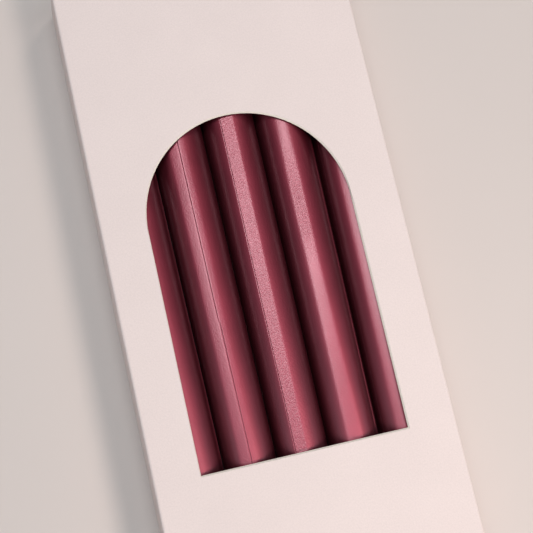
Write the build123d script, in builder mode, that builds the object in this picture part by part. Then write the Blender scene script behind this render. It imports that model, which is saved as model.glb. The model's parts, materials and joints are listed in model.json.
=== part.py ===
from build123d import *
from math import cos, radians, sin, tan
import os

# A flat gift box of sealing wax sticks: a card sleeve with an arched window, a card tray with double
# rolled walls that slides in the sleeve, and round wax sticks lying loose in the tray.
# Millimetres. The box lies on its back: X across, +Y along it to its head end above the arch, +Z up
# through the window. The origin is at the middle of the back.

# Wax sticks: a little thicker at the head end
stick_count = 5
stick_diameter = 11.0  # at the foot end
stick_length = 135.0
stick_draft = 0.225  # degrees between a stick's side and its axis
stick_end_chamfer = 0.5
mould_shift = 0.08  # mismatch of the two mould halves, which leaves a step along both parting lines
seam_angles = (72, -8, -22, 58, -64)  # each stick's parting line, in degrees from its top towards +X

# How the sticks lie in the tray: side by side along their whole length, so their axes fan out
stick_gap = 0.2
stick_seat_gap = 0.1
stick_side_play = 0.15  # beside the outer sticks' head ends
stick_end_play = 1.0  # beyond each end of the sticks

# Card of both blanks
board = 0.42
crease_radius = 0.15  # inside a fold

# Tray
ply_gap = 0.06  # left in a double wall with a tab between its plies
rim_rise = 0.1  # of the rim above the sticks
tab_length = 9.0
tab_relief = 0.4  # above and below a tab, clear of the folds

# Sleeve
slide_clearance = 0.2  # on each side of the tray
lift_clearance = 0.2  # under the tray, above the glue flap
head_clearance = 0.25  # over the tray's rim
tray_inset = 1.5  # of the tray behind each open end
flap_width = 9.0
flap_taper = 4.0  # how much each end of the glue flap slants in
seam_inset = 0.3  # of the back panel's cut edge from the left side
window_width = 44.8
window_height = 74.0
window_offset = -0.4  # of the window from the middle of the front

# Folds and double walls
fold_radius = crease_radius + board
fold_middle = crease_radius + board / 2
rim_width = 3 * board + ply_gap
rim_middle = (rim_width - board) / 2

# Plan of the tray and the sleeve
foot_radius = stick_diameter / 2
head_radius = foot_radius + stick_length * tan(radians(stick_draft))
stick_fan = 2 * stick_draft  # degrees between the axes of neighbours
stick_pitch = foot_radius + head_radius + stick_gap
head_pitch = stick_pitch + stick_length / 2 * tan(radians(stick_fan))
tray_inner_width = (stick_count - 1) * head_pitch + 2 * head_radius + 2 * stick_side_play
tray_inner_length = stick_length + 2 * stick_end_play
tray_width = tray_inner_width + 2 * rim_width
tray_length = tray_inner_length + 2 * rim_width
sleeve_width = tray_width + 2 * slide_clearance + 2 * board
sleeve_length = tray_length + 2 * tray_inset
panel_half_width = sleeve_width / 2 - fold_radius

# Levels, from the back upwards
flap_top = 2 * board
tray_base = flap_top + lift_clearance
floor_top = tray_base + board
stick_axis = floor_top + stick_seat_gap + (foot_radius + head_radius) / 2  # at the middle of a stick
rim_top = floor_top + stick_seat_gap + 2 * head_radius + rim_rise
front_inside = rim_top + head_clearance
sleeve_height = front_inside + board
wall_foot = tray_base + fold_radius
wall_head = rim_top - rim_width / 2

os.makedirs("parts", exist_ok=True)


def write_piece(piece, name):
    piece.label = name
    export_step(piece, f"parts/{name}.step")


# Sleeve: front panel with a window that is square at its foot and a half circle at its head
window_left = window_offset - window_width / 2
window_right = window_offset + window_width / 2
window_foot = -window_height / 2
window_spring = window_height / 2 - window_width / 2
with BuildPart() as front_panel:
    with BuildSketch(Plane.XY.offset(front_inside)):
        Rectangle(2 * panel_half_width, sleeve_length)
        with BuildLine():
            straight = Polyline(
                (window_left, window_spring),
                (window_left, window_foot),
                (window_right, window_foot),
                (window_right, window_spring),
            )
            ThreePointArc(straight @ 1, (window_offset, window_height / 2), straight @ 0)
        make_face(mode=Mode.SUBTRACT)
    extrude(amount=board)
write_piece(front_panel.part, "sleeve_front_panel")

# Sleeve: back panel, folded from the right side, with a cut edge over the glue flap at the left
back_left = -sleeve_width / 2 + seam_inset
with BuildPart() as back_panel:
    with BuildSketch(Plane.XY):
        with Locations((back_left, 0)):
            Rectangle(panel_half_width - back_left, sleeve_length, align=(Align.MIN, Align.CENTER))
    extrude(amount=board)
write_piece(back_panel.part, "sleeve_back_panel")

# Sleeve: sides with a fold at both edges, the left one ending in the glue flap's crease on the back panel
for side_name, side, seat in (("sleeve_left_side", -1, board), ("sleeve_right_side", 1, 0)):
    with BuildPart() as side_panel:
        with BuildSketch(Plane.XZ):
            with BuildLine():
                upper_start = (side * panel_half_width, sleeve_height - board / 2)
                upper = JernArc(upper_start, (side, 0), fold_middle, -90 * side)
                wall = Line(upper @ 1, ((upper @ 1).X, seat + fold_radius))
                JernArc(wall @ 1, (0, -1), fold_middle, -90 * side)
            trace(line_width=board)
        extrude(amount=sleeve_length / 2, both=True)
    write_piece(side_panel.part, side_name)

# Sleeve: glue flap, lying on the back panel, with slanted ends
with BuildPart() as glue_flap:
    with BuildSketch(Plane.XY.offset(board)):
        with BuildLine():
            Polyline(
                (-panel_half_width, -sleeve_length / 2),
                (-panel_half_width + flap_width, -sleeve_length / 2 + flap_taper),
                (-panel_half_width + flap_width, sleeve_length / 2 - flap_taper),
                (-panel_half_width, sleeve_length / 2),
                close=True,
            )
        make_face()
    extrude(amount=board)
write_piece(glue_flap.part, "sleeve_glue_flap")

# Tray: floor between the folds of the four walls
with BuildPart() as tray_floor:
    with BuildSketch(Plane.XY.offset(tray_base)):
        Rectangle(tray_width - 2 * fold_radius, tray_length - 2 * fold_radius)
    extrude(amount=board)
write_piece(tray_floor.part, "tray_floor")


def double_wall(name, outward, reach, run, outer_run, inner_run):
    """One wall of the tray, facing outward at a distance of reach, in three panels of one folded strip.

    run, outer_run and inner_run are half the lengths of its rolled rim, outer ply and inner ply.
    """
    across = Vector(outward)
    along = across.cross(Vector(0, 0, 1))
    section = Plane(origin=(0, 0, 0), x_dir=across, z_dir=along)
    outer_middle = reach - board / 2
    inner_middle = reach - rim_width + board / 2

    with BuildPart() as outer_wall:
        with BuildSketch(section):
            with BuildLine():
                bend = JernArc((reach - fold_radius, tray_base + board / 2), (1, 0), fold_middle, 90)
                Line(bend @ 1, (outer_middle, wall_head))
            trace(line_width=board)
        extrude(amount=outer_run, both=True)
    write_piece(outer_wall.part, f"tray_{name}_outer_wall")

    with BuildPart() as rim:
        with BuildSketch(section):
            with BuildLine():
                JernArc((outer_middle, wall_head), (0, 1), rim_middle, 180)
            trace(line_width=board)
        extrude(amount=run, both=True)
        for end in (1, -1):
            mitre = Plane(origin=across * reach + along * (end * run), z_dir=along * end - across)
            split(bisect_by=mitre, keep=Keep.BOTTOM)
    write_piece(rim.part, f"tray_{name}_rim")

    with BuildPart() as inner_wall:
        with BuildSketch(section):
            with Locations((inner_middle, floor_top)):
                Rectangle(board, wall_head - floor_top, align=(Align.CENTER, Align.MIN))
        extrude(amount=inner_run, both=True)
    write_piece(inner_wall.part, f"tray_{name}_inner_wall")


# Tray: the side walls run the whole length, and the end walls stand between them
tab_bend = tray_width / 2 - board - fold_radius
for wall_name, wall_side in (("left", -1), ("right", 1)):
    double_wall(
        wall_name,
        outward=(wall_side, 0, 0),
        reach=tray_width / 2,
        run=tray_length / 2,
        outer_run=tray_length / 2,
        inner_run=tray_inner_length / 2,
    )
for wall_name, wall_side in (("head", 1), ("foot", -1)):
    double_wall(
        wall_name,
        outward=(0, wall_side, 0),
        reach=tray_length / 2,
        run=tray_width / 2,
        outer_run=tab_bend,
        inner_run=tray_inner_width / 2 + board,
    )

# Tray: a tab at each end of the end walls, bent round the corner between the two plies of the side wall
for end_name, end in (("head", 1), ("foot", -1)):
    for side_name, side in (("left", -1), ("right", 1)):
        with BuildPart() as tab:
            with BuildSketch(Plane.XY.offset(wall_foot + tab_relief)):
                with BuildLine():
                    bend_start = (side * tab_bend, end * (tray_length / 2 - board / 2))
                    bend = JernArc(bend_start, (side, 0), fold_middle, -90 * side * end)
                    Line(bend @ 1, bend @ 1 - Vector(0, end * tab_length))
                trace(line_width=board)
            extrude(amount=wall_head - wall_foot - 2 * tab_relief)
        write_piece(tab.part, f"tray_{end_name}_{side_name}_tab")

# Wax sticks: two mould halves a little out of line, with a chamfer round both ends. The axis rises
# towards the thicker head end, so the stick lies on the floor along its whole length.
rise = radians(stick_draft)
for index in range(stick_count):
    place = index - (stick_count - 1) / 2
    yaw = radians(place * stick_fan)
    seam = radians(seam_angles[index % len(seam_angles)])
    middle = Vector(place * stick_pitch, 0, stick_axis)
    along = Vector(sin(yaw) * cos(rise), cos(yaw) * cos(rise), sin(rise))
    across = Vector(cos(yaw), -sin(yaw), 0)
    to_seam = across * sin(seam) + across.cross(along) * cos(seam)
    with BuildPart() as stick:
        for half in (1, -1):
            centre = middle + to_seam * (half * mould_shift / 2)
            with BuildSketch(Plane(origin=centre, x_dir=along, z_dir=along.cross(to_seam))):
                with BuildLine():
                    Polyline(
                        (-stick_length / 2, 0),
                        (-stick_length / 2, foot_radius - stick_end_chamfer),
                        (-stick_length / 2 + stick_end_chamfer, foot_radius),
                        (stick_length / 2 - stick_end_chamfer, head_radius),
                        (stick_length / 2, head_radius - stick_end_chamfer),
                        (stick_length / 2, 0),
                        close=True,
                    )
                make_face()
            revolve(axis=Axis(centre, along * half), revolution_arc=180)
    write_piece(stick.part, f"wax_stick_{index + 1}")
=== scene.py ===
import json
from collections import Counter, namedtuple
from math import cos, radians, sin

import bpy
import numpy as np
from mathutils import Matrix, Quaternion, Vector


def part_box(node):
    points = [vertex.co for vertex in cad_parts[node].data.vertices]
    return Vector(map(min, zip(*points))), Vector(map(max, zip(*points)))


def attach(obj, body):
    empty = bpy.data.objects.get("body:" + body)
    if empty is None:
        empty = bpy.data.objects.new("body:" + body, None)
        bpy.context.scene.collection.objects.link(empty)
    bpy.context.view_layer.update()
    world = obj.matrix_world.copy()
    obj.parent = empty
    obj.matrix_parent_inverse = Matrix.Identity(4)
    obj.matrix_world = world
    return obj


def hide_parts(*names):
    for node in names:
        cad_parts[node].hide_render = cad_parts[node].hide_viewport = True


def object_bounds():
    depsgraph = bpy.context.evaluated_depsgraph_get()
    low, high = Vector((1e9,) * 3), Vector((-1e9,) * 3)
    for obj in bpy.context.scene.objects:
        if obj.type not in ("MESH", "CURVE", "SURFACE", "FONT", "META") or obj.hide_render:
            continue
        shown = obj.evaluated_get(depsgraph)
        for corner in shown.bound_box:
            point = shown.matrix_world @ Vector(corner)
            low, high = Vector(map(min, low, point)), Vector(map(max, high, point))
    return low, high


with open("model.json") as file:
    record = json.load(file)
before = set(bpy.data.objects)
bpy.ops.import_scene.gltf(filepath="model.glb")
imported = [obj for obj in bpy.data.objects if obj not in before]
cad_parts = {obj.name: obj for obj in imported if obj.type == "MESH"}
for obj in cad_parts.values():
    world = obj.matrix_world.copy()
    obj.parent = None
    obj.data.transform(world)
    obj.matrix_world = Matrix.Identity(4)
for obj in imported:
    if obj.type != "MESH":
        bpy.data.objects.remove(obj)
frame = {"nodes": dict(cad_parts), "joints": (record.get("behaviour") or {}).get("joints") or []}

# A flat card box of sealing wax sticks, lying on its back. Metres, in the frame of the packed
# model: X across the box, +Y along it to the head end above the arch, +Z up through the window.
MM = 0.001
X, Y, Z = 0, 1, 2
cad_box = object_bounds()
box_low, box_high = cad_box
nodes = frame["nodes"]
_, front_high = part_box("sleeve_front_panel")
tray_middle = Vector((0, 0, (box_low.z + box_high.z) / 2))

# Camera: where it stands and the point that it looks at, both measured from the front panel's
# middle, how far the box leans to the left in the picture, and the lens and sensor in mm
front_middle = Vector((0, 0, front_high.z))
CAMERA_PLACE = front_middle + Vector((-43.77, -33.05, 226.66)) * MM
CAMERA_TARGET = front_middle + Vector((0.10, 2.55, 0)) * MM
CAMERA_LEAN = radians(13.03)
CAMERA_LENS = 74.3
CAMERA_SENSOR = 36
CAMERA_CLIP_START = 0.01

# Colours, linear
BLUSH = (0.862, 0.729, 0.702)
BOARD_REVERSE = (0.30, 0.295, 0.28)
BOARD_CORE = (0.95, 0.86, 0.77)
WAX_DEEP = (0.310, 0.027, 0.055)
WAX_PALE = (0.350, 0.031, 0.063)
WAX_PIT = (0.320, 0.030, 0.060)
WAX_PAINTED_GAP_SHADE = (0.030, 0.004, 0.007)  # painted shade: the wax turns this dark where the sticks mirror one another, to keep the gaps between them dark
FLOOR_PALE = (0.695, 0.610, 0.577)
WARM_LIGHT = (1.0, 0.87, 0.80)
NEUTRAL_LIGHT = (0.95, 1.0, 1.03)
COOL_LIGHT = (0.85, 1.0, 1.06)
PALE_LIGHT = (1.0, 0.96, 0.93)

# Card: the size of its clouds and of its felt of fibres, how they shade it, and its finish
CARD_CLOUD = 14 * MM
CARD_CLOUD_SHADES = (0.985, 1.01)
CARD_FELT = 0.35 * MM
CARD_FELT_DEPTH = 0.03 * MM
CARD_ROUGHNESS = (0.82, 0.72)  # between the fibres and on them
CARD_SPECULAR = 0.3

# Wax: the size of its clouds and pits, and its finish
WAX_CLOUD = 5 * MM
WAX_SPECKLE = 0.36 * MM
WAX_SPECKLE_RANGE = (0.38, 0.68)
WAX_PITTED = (0.15, 1.0)  # off the flats and on them
WAX_PIT_STRENGTH = 0.65
WAX_PIT_DEPTH = 0.06 * MM
WAX_ROUGHNESS = (0.49, 0.54)  # beside the pits and in them
WAX_COAT_IOR = 1.72
WAX_COAT_ROUGHNESS = 0.31

# Floor
FLOOR_SIZE = 6.0
FLOOR_CLOUD = 90 * MM
FLOOR_CLOUD_SHADES = (0.97, 1.03)
FLOOR_ROUGHNESS = 0.6
FLOOR_SPECULAR = 0.3

NOISE_RANGE = (0.3, 0.7)  # most of the values that a noise takes
MIX_COLOUR_A, MIX_COLOUR_B, MIX_RESULT = 6, 7, 2  # the colour sockets of a Mix node


def add_object(name, data):
    made = bpy.data.objects.new(name, data)
    bpy.context.scene.collection.objects.link(made)
    return made


def add_node(tree, kind, inputs=None, **settings):
    """Adds a shader node, with its settings, and sets or links each of the inputs given."""
    made = tree.nodes.new(kind)
    for key, value in settings.items():
        setattr(made, key, value)
    for key, value in (inputs or {}).items():
        if isinstance(value, bpy.types.NodeSocket):
            tree.links.new(value, made.inputs[key])
        else:
            made.inputs[key].default_value = value
    return made


def new_material(name):
    """A node material, its nodes, its shader, and the coordinates of the object that wears it."""
    material = bpy.data.materials.new(name)
    material.use_nodes = True
    tree = material.node_tree
    shader = tree.nodes["Principled BSDF"]
    place = add_node(tree, "ShaderNodeTexCoord").outputs["Object"]
    return material, tree, shader, place


def noise(tree, place, size, detail=2.0, roughness=0.5):
    """A noise whose features are about size metres across."""
    made = add_node(
        tree, "ShaderNodeTexNoise",
        {"Vector": place, "Scale": 1 / size, "Detail": detail, "Roughness": roughness},
    )
    return made.outputs["Fac"]


def ramp(tree, value, low, high, to_low=0.0, to_high=1.0, shape="LINEAR"):
    """value, taken from the range low to high to the range to_low to to_high."""
    made = add_node(
        tree, "ShaderNodeMapRange",
        {"Value": value, "From Min": low, "From Max": high, "To Min": to_low, "To Max": to_high},
        interpolation_type=shape,
    )
    return made.outputs["Result"]


def calculate(tree, operation, first, second):
    made = add_node(tree, "ShaderNodeMath", {0: first, 1: second}, operation=operation)
    return made.outputs["Value"]


def mix_colour(tree, share, first, second):
    made = add_node(tree, "ShaderNodeMix", {"Factor": share}, data_type="RGBA")
    for index, value in ((MIX_COLOUR_A, first), (MIX_COLOUR_B, second)):
        if isinstance(value, bpy.types.NodeSocket):
            tree.links.new(value, made.inputs[index])
        else:
            made.inputs[index].default_value = (*value, 1)
    return made.outputs[MIX_RESULT]


def mix_shades(tree, share, colour, factors):
    """colour, between the two shades of it that factors give."""
    dark, light = (tuple(channel * factor for channel in colour) for factor in factors)
    return mix_colour(tree, share, dark, light)


def card_material(name, colour, fibre_shade, grain):
    """Uncoated card: a fine felt of fibres, with painted shade in the hollows between them, and
    cloudy stock behind it.
    """
    material, tree, shader, place = new_material(name)
    cloud = ramp(tree, noise(tree, place, CARD_CLOUD), *NOISE_RANGE)
    felt = noise(tree, place, CARD_FELT, detail=5, roughness=0.65)
    felt = ramp(tree, felt, *NOISE_RANGE)
    clouded = mix_shades(tree, cloud, colour, CARD_CLOUD_SHADES)
    # painted shade: the colour darkens towards black where the felt lies low, in the hollows
    # between the fibres
    painted_shade_between_fibres = mix_colour(tree, fibre_shade, clouded, (0, 0, 0))
    felted_and_shaded = mix_colour(tree, felt, painted_shade_between_fibres, clouded)
    bump = add_node(
        tree, "ShaderNodeBump",
        {"Strength": grain, "Distance": CARD_FELT_DEPTH, "Height": felt},
    )
    tree.links.new(felted_and_shaded, shader.inputs["Base Color"])
    tree.links.new(ramp(tree, felt, 0, 1, *CARD_ROUGHNESS), shader.inputs["Roughness"])
    tree.links.new(bump.outputs["Normal"], shader.inputs["Normal"])
    shader.inputs["Specular IOR Level"].default_value = CARD_SPECULAR
    return material


def wax_material():
    """Moulded burgundy wax: satin, a little cloudy, finely pitted where the mould left it flat,
    with painted shade that turns it almost black where the sticks mirror one another.
    """
    material, tree, shader, place = new_material("burgundy_wax")
    cloud = ramp(tree, noise(tree, place, WAX_CLOUD, detail=3), *NOISE_RANGE)
    speckle = noise(tree, place, WAX_SPECKLE, detail=3, roughness=0.6)
    speckle = ramp(tree, speckle, *WAX_SPECKLE_RANGE)
    flat = add_node(tree, "ShaderNodeAttribute", attribute_name="flat").outputs["Fac"]
    pits = calculate(tree, "MULTIPLY", speckle, ramp(tree, flat, 0, 1, *WAX_PITTED))
    clouded = mix_colour(tree, cloud, WAX_DEEP, WAX_PALE)
    pitted = mix_colour(tree, pits, clouded, WAX_PIT)
    # painted shade: rays that the sticks mirror to one another see the wax almost black, which
    # keeps the gaps between the sticks dark
    painted_gap_shade_mask = add_node(tree, "ShaderNodeLightPath").outputs["Is Glossy Ray"]
    bump = add_node(
        tree, "ShaderNodeBump",
        {"Strength": WAX_PIT_STRENGTH, "Distance": WAX_PIT_DEPTH, "Height": pits},
        invert=True,
    )
    # painted shade in the gaps, mixed into the wax colour for mirrored rays
    wax_with_painted_gap_shade = mix_colour(tree, painted_gap_shade_mask, pitted, WAX_PAINTED_GAP_SHADE)
    tree.links.new(wax_with_painted_gap_shade, shader.inputs["Base Color"])
    tree.links.new(ramp(tree, pits, 0, 1, *WAX_ROUGHNESS), shader.inputs["Roughness"])
    tree.links.new(bump.outputs["Normal"], shader.inputs["Normal"])
    tree.links.new(bump.outputs["Normal"], shader.inputs["Coat Normal"])
    shader.inputs["Metallic"].default_value = 1.0
    shader.inputs["Coat Weight"].default_value = 1.0
    shader.inputs["Coat IOR"].default_value = WAX_COAT_IOR
    shader.inputs["Coat Roughness"].default_value = WAX_COAT_ROUGHNESS
    return material


def floor_material():
    material, tree, shader, place = new_material("pale_floor")
    cloud = noise(tree, place, FLOOR_CLOUD, detail=4)
    clouded = mix_shades(tree, cloud, FLOOR_PALE, FLOOR_CLOUD_SHADES)
    tree.links.new(clouded, shader.inputs["Base Color"])
    shader.inputs["Roughness"].default_value = FLOOR_ROUGHNESS
    shader.inputs["Specular IOR Level"].default_value = FLOOR_SPECULAR
    return material


# For each card, how dark the painted shade between its fibres is, and how strong its grain is
printed = card_material("blush_card", BLUSH, fibre_shade=0.08, grain=0.28)
reverse = card_material("card_reverse", BOARD_REVERSE, fibre_shade=0.10, grain=0.25)
core = card_material("card_core", BOARD_CORE, fibre_shade=0.14, grain=0.35)
wax = wax_material()

CARD_MATERIALS = (printed, reverse, core)
PRINTED, REVERSE, CORE = 0, 1, 2
EDGE_TURN = 0.7  # a face is a cut edge if more than this of its normal lies along an edge axis


def dress_card(name, facing, edge_axes):
    """Gives a card panel its printed side, its bare reverse and its cut edges.

    facing tells from a face's middle and normal how far the face is turned to the printed side.
    A face that looks along one of edge_axes is a cut edge.
    """
    mesh = nodes[name].data
    mesh.materials.clear()
    for material in CARD_MATERIALS:
        mesh.materials.append(material)
    for face in mesh.polygons:
        if max(abs(face.normal[axis]) for axis in edge_axes) > EDGE_TURN:
            face.material_index = CORE
        else:
            face.material_index = PRINTED if facing(face.center, face.normal) > 0 else REVERSE


def outwards(middle, normal):
    return (middle - tray_middle).dot(normal)


def inwards(middle, normal):
    return (tray_middle - middle).dot(normal)


def outwards_across(middle, normal):
    """As outwards, but only in the cross section of the box."""
    return (middle - tray_middle).dot(Vector((normal.x, 0, normal.z)))


def out_of_roll(centre, along):
    """A facing for a rolled rim, printed on the side away from the roll's line along centre."""
    def facing(middle, normal):
        offset = middle - centre
        return (offset - along * offset.dot(along)).dot(normal)
    return facing


# Sleeve: printed outside
for name in ("sleeve_front_panel", "sleeve_back_panel", "sleeve_glue_flap"):
    dress_card(name, outwards, (X, Y))
for name in ("sleeve_left_side", "sleeve_right_side"):
    dress_card(name, outwards_across, (Y,))

# Sleeve: the die presses down the upper edge of the window, which shows as a fine bare line
EDGE_PRESS = 0.32 * MM
TOP_TOLERANCE = 0.01 * MM
OUTLINE_MARGIN = 2 * MM  # the window lies further than this inside the panel's outline
WELD_REACH = 0.001 * MM
panel = nodes["sleeve_front_panel"]
face_count = Counter(key for face in panel.data.polygons for key in face.edge_keys)


def on_window(point):
    on_top = point.z > front_high.z - TOP_TOLERANCE
    inside_x = abs(point.x) < front_high.x - OUTLINE_MARGIN
    inside_y = abs(point.y) < front_high.y - OUTLINE_MARGIN
    return on_top and inside_x and inside_y


pressed = panel.data.attributes.new("bevel_weight_edge", "FLOAT", "EDGE")
for edge in panel.data.edges:
    ends = [panel.data.vertices[vertex].co for vertex in edge.vertices]
    at_border = face_count[edge.key] == 1
    pressed.data[edge.index].value = float(at_border and all(on_window(end) for end in ends))
joined = panel.modifiers.new("joined_faces", "WELD")
joined.merge_threshold = WELD_REACH
press = panel.modifiers.new("pressed_edge", "BEVEL")
press.limit_method = "WEIGHT"
press.width = EDGE_PRESS
press.segments = 1
press.material = CORE

# Tray: printed outside, over the rim and down the inner ply, with the bare reverse on the floor
dress_card("tray_floor", outwards, (X, Y))
for wall in ("left", "right", "head", "foot"):
    run = Y if wall in ("left", "right") else X
    dress_card(f"tray_{wall}_outer_wall", outwards, (run,))
    dress_card(f"tray_{wall}_inner_wall", inwards, (run,))
    rim_low, rim_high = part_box(f"tray_{wall}_rim")
    roll_centre = (rim_low + rim_high) / 2
    roll_centre.z = rim_low.z
    roll_along = Vector((0, 1, 0)) if run == Y else Vector((1, 0, 0))
    dress_card(f"tray_{wall}_rim", out_of_roll(roll_centre, roll_along), (run,))
for end in ("head", "foot"):
    for side in ("left", "right"):
        dress_card(f"tray_{end}_{side}_tab", outwards, (Z,))

# Wax sticks: what the mould left on each one. Angles in degrees from the top towards +X, lengths
# in mm. seam is the parting line, and jog how far and where along the stick it steps aside.
# A flat is a flattened strip: its left edge, its right edge at the foot and at the head of the
# window, the stretch of the stick that it runs along, how far it is pitted, and how softly it
# blends into the round of the stick.
Flat = namedtuple("Flat", "left right stretch pitted blend")
WHOLE_STICK = (-90, 90)
STICKS = {
    "wax_stick_1": {"seam": 72},
    "wax_stick_2": {
        "seam": -6,
        "jog": (2.0, -6.8),
        "flats": [
            Flat(left=-30, right=(-4, -6), stretch=WHOLE_STICK, pitted=0.1, blend=0.12),
            Flat(left=-4, right=(9, 9), stretch=WHOLE_STICK, pitted=0.1, blend=0.03),
        ],
    },
    "wax_stick_3": {
        "seam": -24,
        "flats": [
            Flat(left=-25.5, right=(3, 3.5), stretch=WHOLE_STICK, pitted=0.45, blend=0.05),
        ],
    },
    "wax_stick_4": {
        "seam": 58,
        "flats": [
            Flat(left=-25, right=(11, -2), stretch=(-90, 8), pitted=0.1, blend=0.25),
            Flat(left=-24, right=(-1, 2), stretch=(5.5, 27), pitted=0.6, blend=0.03),
        ],
    },
    "wax_stick_5": {
        "seam": -64,
        "flats": [
            Flat(left=-32, right=(-8, -8), stretch=WHOLE_STICK, pitted=0.1, blend=0.20),
        ],
    },
}
STICK_RINGS = 120
COLUMN_STEP = 2.5
SEAM_COLUMNS = (0, 0.25, 0.5, 0.8, 1.1, 1.5, 2.0, 2.6, 3.4, 4.5)  # on each side of a seam
SEAM_STEP = 0.08
SEAM_STEP_WIDTH = 0.3
SEAM_GROOVE = 0.05
SEAM_GROOVE_WIDTH = 0.9
JOG_HALF_LENGTH = 0.6
END_CHAMFER = 0.5
WINDOW_HALF_LENGTH = 37
FLAT_REACH = 60  # a flat's plane isn't followed further than this from the flat's middle
FLAT_START_FADE = 6
FLAT_STOP_FADE = 10
PIT_FADE = 0.06  # a flat is pitted in full where its plane lies this deep under the round

# Waviness: its height, then for a long and a short wave the length, the number of waves round the
# stick and the phase, then the short one's share and twist, and how far apart the sticks' seeds are
WAVE_HEIGHT = 0.008
LONG_WAVE, LONG_ROUND, LONG_PHASE = 7.3, 2, 1.7
SHORT_WAVE, SHORT_ROUND, SHORT_PHASE = 3.1, 3, 2.3
SHORT_WAVE_SHARE = 0.6
SHORT_WAVE_TWIST = 40
SEED_STEP = 1.3


def smooth_step(value, low, high):
    share = np.clip((value - low) / (high - low), 0, 1)
    return share * share * (3 - 2 * share)


def wrap(angle):
    """The angle in degrees, from -180 up to 180."""
    return (angle + 180) % 360 - 180


def waviness(angle, along, seed):
    turn = np.radians(angle)
    long_wave = np.sin(along / LONG_WAVE + seed)
    long_wave = long_wave * np.sin(turn * LONG_ROUND + seed * LONG_PHASE)
    short_wave = SHORT_WAVE_SHARE * np.sin(along / SHORT_WAVE + seed * SHORT_PHASE)
    short_wave = short_wave * np.sin(turn * SHORT_ROUND + along / SHORT_WAVE_TWIST)
    return WAVE_HEIGHT * (long_wave + short_wave)


def stick_profile(angle, along, marks, radius, seed):
    """A stick's radius in mm, and how far it is pitted, at each angle and place along it."""
    jog_turn, jog_place = marks.get("jog", (0, 0))
    past_jog = smooth_step(jog_place - along, -JOG_HALF_LENGTH, JOG_HALF_LENGTH)
    beside = wrap(angle - (marks["seam"] + jog_turn * past_jog))
    step = SEAM_STEP / 2 * np.cos(np.radians(beside)) * np.tanh(beside / SEAM_STEP_WIDTH)
    groove = SEAM_GROOVE * np.exp(-((beside / SEAM_GROOVE_WIDTH) ** 2))
    surface = radius + step - groove + waviness(angle, along, seed)
    pitted = np.zeros_like(surface)
    up_window = np.clip((along + WINDOW_HALF_LENGTH) / (2 * WINDOW_HALF_LENGTH), 0, 1)
    for flat in marks.get("flats", []):
        foot_right, head_right = flat.right
        right = foot_right + (head_right - foot_right) * up_window
        off = np.clip(angle - (flat.left + right) / 2, -FLAT_REACH, FLAT_REACH)
        half_width = np.radians((right - flat.left) / 2)
        plane = (radius + step) * np.cos(half_width) / np.cos(np.radians(off))
        start, stop = flat.stretch
        begun = smooth_step(along, start - FLAT_START_FADE, start + FLAT_START_FADE)
        ended = smooth_step(along, stop - FLAT_STOP_FADE, stop + FLAT_STOP_FADE)
        runs = begun * (1 - ended)
        depth = np.clip(surface - plane, 0, None)
        pitted = np.maximum(pitted, flat.pitted * runs * smooth_step(depth, 0, PIT_FADE))
        surface = surface - runs * depth**2 / (depth + flat.blend)
    return surface, pitted


def make_stick(name, joint, marks, seed):
    """A cast stick with its marks, on the axis of its roll joint, in place of the CAD stick."""
    body = joint["child"]
    middle = Vector(joint["pos_m"])
    axis = Vector(joint["axis"]).normalized()
    across = axis.cross(Vector((0, 0, 1))).normalized()
    up = across.cross(axis)

    # Length and taper of the CAD stick
    offsets = [(vertex.co - middle) / MM for vertex in nodes[name].data.vertices]
    half_length = max(offset.dot(axis) for offset in offsets)
    end_radius = []
    for end in (-1, 1):
        end_zone = half_length - 2 * END_CHAMFER
        near_end = [offset for offset in offsets if end * offset.dot(axis) > end_zone]
        reach = max((offset - axis * offset.dot(axis)).length for offset in near_end)
        end_radius.append(reach - SEAM_STEP / 2)

    # Points in rings along the stick, in columns that are close together at both seams
    columns = set(np.arange(-180, 180, COLUMN_STEP).tolist())
    for seam in (marks["seam"], marks["seam"] + 180):
        for offset in SEAM_COLUMNS:
            columns |= {wrap(seam + offset), wrap(seam - offset)}
    columns = np.array(sorted(columns))
    side_ends = (-half_length + END_CHAMFER, half_length - END_CHAMFER)
    rings = np.linspace(*side_ends, STICK_RINGS)
    rings = np.concatenate(([-half_length], rings, [half_length]))
    angle, along = np.meshgrid(columns, rings)
    radius = np.interp(along, side_ends, end_radius)
    surface, pitted = stick_profile(angle, along, marks, radius, seed)
    surface[0] -= END_CHAMFER
    surface[-1] -= END_CHAMFER
    turn = np.radians(angle)[..., None]
    spokes = np.array(across) * np.sin(turn) + np.array(up) * np.cos(turn)
    from_middle = np.array(axis) * along[..., None] + spokes * surface[..., None]
    points = np.array(middle) + from_middle * MM

    # Sides in quads, and each end as a fan
    count = len(columns)
    vertices = points.reshape(-1, 3).tolist()
    faces = []
    for ring in range(len(rings) - 1):
        low, high = ring * count, (ring + 1) * count
        for column in range(count):
            after = (column + 1) % count
            faces.append((low + column, high + column, high + after, low + after))
    for ring, end in ((0, -1), (len(rings) - 1, 1)):
        centre = len(vertices)
        vertices.append(tuple(middle + axis * (end * half_length * MM)))
        for column in range(count):
            after = (column + 1) % count
            corners = (ring * count + column, ring * count + after, centre)
            faces.append(corners if end < 0 else corners[::-1])

    mesh = bpy.data.meshes.new(name + "_cast")
    mesh.from_pydata(vertices, [], faces)
    mesh.polygons.foreach_set("use_smooth", [len(face) == 4 for face in faces])
    values = np.zeros(len(vertices), np.float32)
    values[: pitted.size] = pitted.ravel()
    mesh.attributes.new("flat", "FLOAT", "POINT").data.foreach_set("value", values)
    mesh.materials.append(wax)
    stick = add_object(name + "_cast", mesh)
    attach(stick, body)
    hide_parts(name)


roll_joints = {joint["child"]: joint for joint in frame["joints"] if joint["type"] == "hinge"}
for number, (name, marks) in enumerate(STICKS.items(), start=1):
    make_stick(name, roll_joints[f"stick_{number}"], marks, seed=number * SEED_STEP)

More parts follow.
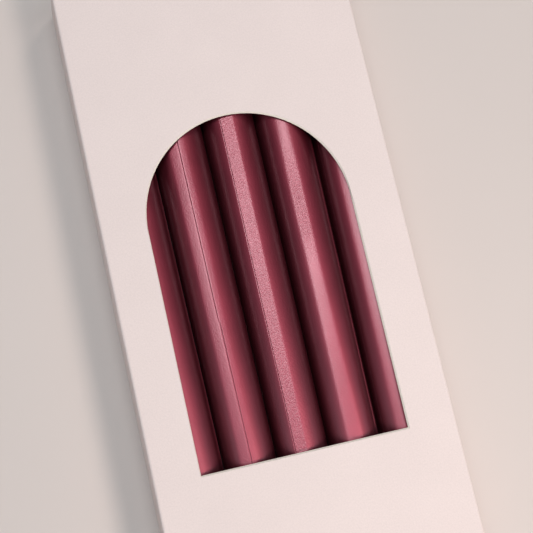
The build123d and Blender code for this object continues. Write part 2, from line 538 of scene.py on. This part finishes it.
# Floor
half = FLOOR_SIZE / 2
corners = [(-half, -half, 0), (half, -half, 0), (half, half, 0), (-half, half, 0)]
floor_mesh = bpy.data.meshes.new("floor")
floor_mesh.from_pydata(corners, [], [(0, 1, 2, 3)])
floor_mesh.materials.append(floor_material())
floor = add_object("floor", floor_mesh)


def soft_light(name, place, size, radiance, colour, roll=0.0):
    """A soft box at place that faces the sticks, of the given width and length.

    radiance is how bright it shines, and roll how far it is turned in its own plane, in degrees.
    """
    lamp = bpy.data.lights.new(name, "AREA")
    lamp.shape = "RECTANGLE"
    lamp.size, lamp.size_y = size
    lamp.energy = radiance * np.pi * size[0] * size[1]
    lamp.color = colour
    light = add_object(name, lamp)
    light.location = place
    light.rotation_mode = "QUATERNION"
    facing = Vector(place).to_track_quat("Z", "Y")
    light.rotation_quaternion = facing @ Quaternion((0, 0, 1), radians(roll))
    light.visible_camera = False


soft_light(
    "overhead_box", place=(-0.12, 0.16, 0.77), size=(0.46, 0.15),
    radiance=10.5, colour=NEUTRAL_LIGHT, roll=-28,
)
soft_light(
    "foot_key", place=(0.125, -0.16, 0.28), size=(0.06, 0.10),
    radiance=28.0, colour=WARM_LIGHT,
)
soft_light(
    "head_key", place=(0.13, 0.22, 0.24), size=(0.06, 0.10),
    radiance=5.5, colour=WARM_LIGHT,
)

# A dome of light over the foot of the box, above a pale horizon. Each pair is where along a
# direction's Y or Z the dome or the horizon starts to come up, and where it is fully up.
DOME_DIM, DOME_BRIGHT = 0.02, 1.35
DOME_FROM_HEAD = (0.06, -0.20)
DOME_FROM_BELOW = (0.05, 0.40)
DOME_FROM_FOOT = (-0.50, -0.24)
DOME_FOOT_SHARE = 0.08  # what is left of the dome far out at the foot
HORIZON = 0.24
HORIZON_FROM_ABOVE = (0.26, 0.10)
world = bpy.data.worlds.new("studio")
bpy.context.scene.world = world
world.use_nodes = True
sky = world.node_tree
direction = add_node(sky, "ShaderNodeTexCoord").outputs["Generated"]
parts = add_node(sky, "ShaderNodeSeparateXYZ", {"Vector": direction}).outputs
from_head = ramp(sky, parts["Y"], *DOME_FROM_HEAD, shape="SMOOTHSTEP")
from_below = ramp(sky, parts["Z"], *DOME_FROM_BELOW, shape="SMOOTHSTEP")
from_foot = ramp(sky, parts["Y"], *DOME_FROM_FOOT, DOME_FOOT_SHARE, 1.0)
overhead = calculate(sky, "MULTIPLY", from_head, from_below)
overhead = calculate(sky, "MULTIPLY", overhead, from_foot)
dome = ramp(sky, overhead, 0, 1, DOME_DIM, DOME_BRIGHT)
low = ramp(sky, parts["Z"], *HORIZON_FROM_ABOVE, shape="SMOOTHSTEP")
horizon = calculate(sky, "MULTIPLY", low, HORIZON)
background = sky.nodes["Background"]
sky.links.new(mix_colour(sky, low, COOL_LIGHT, PALE_LIGHT), background.inputs["Color"])
sky.links.new(calculate(sky, "MAXIMUM", dome, horizon), background.inputs["Strength"])

# Camera
camera_data = bpy.data.cameras.new("camera")
camera_data.sensor_width = CAMERA_SENSOR
camera_data.lens = CAMERA_LENS
camera_data.clip_start = CAMERA_CLIP_START
camera = add_object("camera", camera_data)
back = (CAMERA_PLACE - CAMERA_TARGET).normalized()
right = Vector((sin(CAMERA_LEAN), cos(CAMERA_LEAN), 0)).cross(back).normalized()
turned = Matrix((right, back.cross(right), back)).transposed().to_4x4()
camera.matrix_world = Matrix.Translation(CAMERA_PLACE) @ turned
bpy.context.scene.camera = camera
bpy.context.scene.view_settings.view_transform = "Standard"
